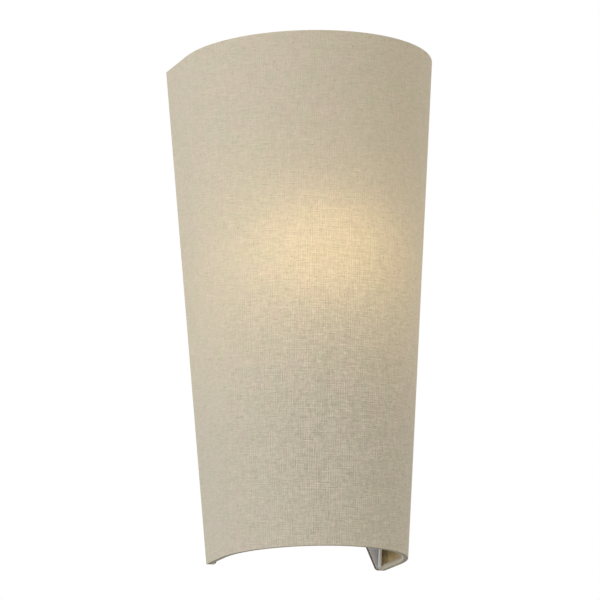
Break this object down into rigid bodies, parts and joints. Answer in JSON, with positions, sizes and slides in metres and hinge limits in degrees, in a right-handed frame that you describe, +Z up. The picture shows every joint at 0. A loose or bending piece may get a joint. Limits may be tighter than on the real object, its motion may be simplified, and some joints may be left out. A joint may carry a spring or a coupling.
{
  "type": "fabric shade wall light",
  "caption": "Wall light with a tapered half shade of natural linen, open at top and bottom, screwed to a steel wall plate that carries an upright lampholder and an opal lamp.",
  "frame": {"origin": "centre of the wall plate's four fixing slots, on the wall plane", "axes": "+Z up, -Y out of the wall into the room, +X to the right as seen from the room"},
  "size_m": [0.1784, 0.1324, 0.35],
  "materials": {
    "linen": "natural greige plain-weave linen with slubs",
    "liner": "white laminate, satin",
    "wire_white": "white stove enamel",
    "plate_white": "white powder coat",
    "zinc_steel": "bright zinc plate",
    "nickel": "nickel plate, satin",
    "brass": "plain brass",
    "solder": "tinned",
    "black_glass": "black vitrite",
    "opal_glass": "opal white, lit warm",
    "clear_glass": "clear",
    "filament": "yellow phosphor",
    "holder_plastic": "white thermoplastic",
    "ceramic": "glazed white ceramic",
    "block_plastic": "natural polyamide",
    "nylon": "white nylon",
    "grommet_rubber": "black rubber",
    "lead_brown": "brown insulation",
    "lead_blue": "blue insulation",
    "lead_green": "green and yellow insulation"
  },
  "bodies": {
    "wall_unit": {"wall_plate": "plate_white", "threaded_bushes": "zinc_steel", "cable_grommet": "grommet_rubber", "lamp_arm": "plate_white", "arm_rivets": "zinc_steel", "holder_nipple": "brass", "nipple_lock_washer": "zinc_steel", "nipple_nut": "zinc_steel", "holder_cap": "holder_plastic", "holder_body": "holder_plastic", "holder_insert": "ceramic", "holder_side_contact": "brass", "holder_centre_contact": "brass", "holder_terminal_screws": "brass", "terminal_block": "block_plastic", "terminal_sleeves": "brass", "terminal_screws": "zinc_steel", "block_screw": "zinc_steel", "earth_tag": "brass", "earth_screw": "brass", "live_lead": "lead_brown", "neutral_lead": "lead_blue", "earth_lead": "lead_green"},
    "shade": {"fabric_cover": "linen", "inner_liner": "liner", "bottom_hem": "linen", "top_hem": "linen", "bottom_rim_wire": "wire_white", "top_rim_wire": "wire_white", "left_upright_wire": "wire_white", "right_upright_wire": "wire_white", "upper_cross_bar": "wire_white", "lower_cross_bar": "wire_white"},
    "upper_washer": {"upper_screw_washer": "nylon"},
    "upper_screw": {"upper_thumb_screw": "nickel"},
    "lower_washer": {"lower_screw_washer": "nylon"},
    "lower_screw": {"lower_thumb_screw": "nickel"},
    "lamp_base": {"lamp_contact": "solder"},
    "lamp": {"lamp_glass": "opal_glass", "lamp_cap": "nickel", "lamp_insulator": "black_glass", "lamp_stem": "clear_glass", "lamp_filaments": "filament", "filament_support": "nickel"}
  },
  "joints": [
    {"name": "shade_pull", "type": "slide", "parent": "wall_unit", "child": "shade", "axis": [0, -1, 0], "range_m": [0, 0.14]},
    {"name": "upper_screw_travel", "type": "slide", "parent": "shade", "child": "upper_washer", "axis": [0, -1, 0], "range_m": [0, 0.004]},
    {"name": "upper_screw_turn", "type": "hinge", "parent": "upper_washer", "child": "upper_screw", "pos_m": [0, -0.0105, 0.118], "axis": [0, -1, 0], "range_deg": [0, 1800]},
    {"name": "lower_screw_travel", "type": "slide", "parent": "shade", "child": "lower_washer", "axis": [0, -1, 0], "range_m": [0, 0.004]},
    {"name": "lower_screw_turn", "type": "hinge", "parent": "lower_washer", "child": "lower_screw", "pos_m": [0, -0.0105, -0.118], "axis": [0, -1, 0], "range_deg": [0, 1800]},
    {"name": "lamp_rise", "type": "slide", "parent": "wall_unit", "child": "lamp_base", "axis": [0, 0, 1], "range_m": [0, 0.01452]},
    {"name": "lamp_turn", "type": "hinge", "parent": "lamp_base", "child": "lamp", "pos_m": [0, -0.066, -0.045], "axis": [0, 0, 1], "range_deg": [0, 1440]}
  ],
  "couplings": [
    {"joint": "upper_screw_travel", "follows": "upper_screw_turn", "m_per_rad": 0.00012732},
    {"joint": "lower_screw_travel", "follows": "lower_screw_turn", "m_per_rad": 0.00012732},
    {"joint": "lamp_rise", "follows": "lamp_turn", "m_per_rad": 0.00057773}
  ]
}
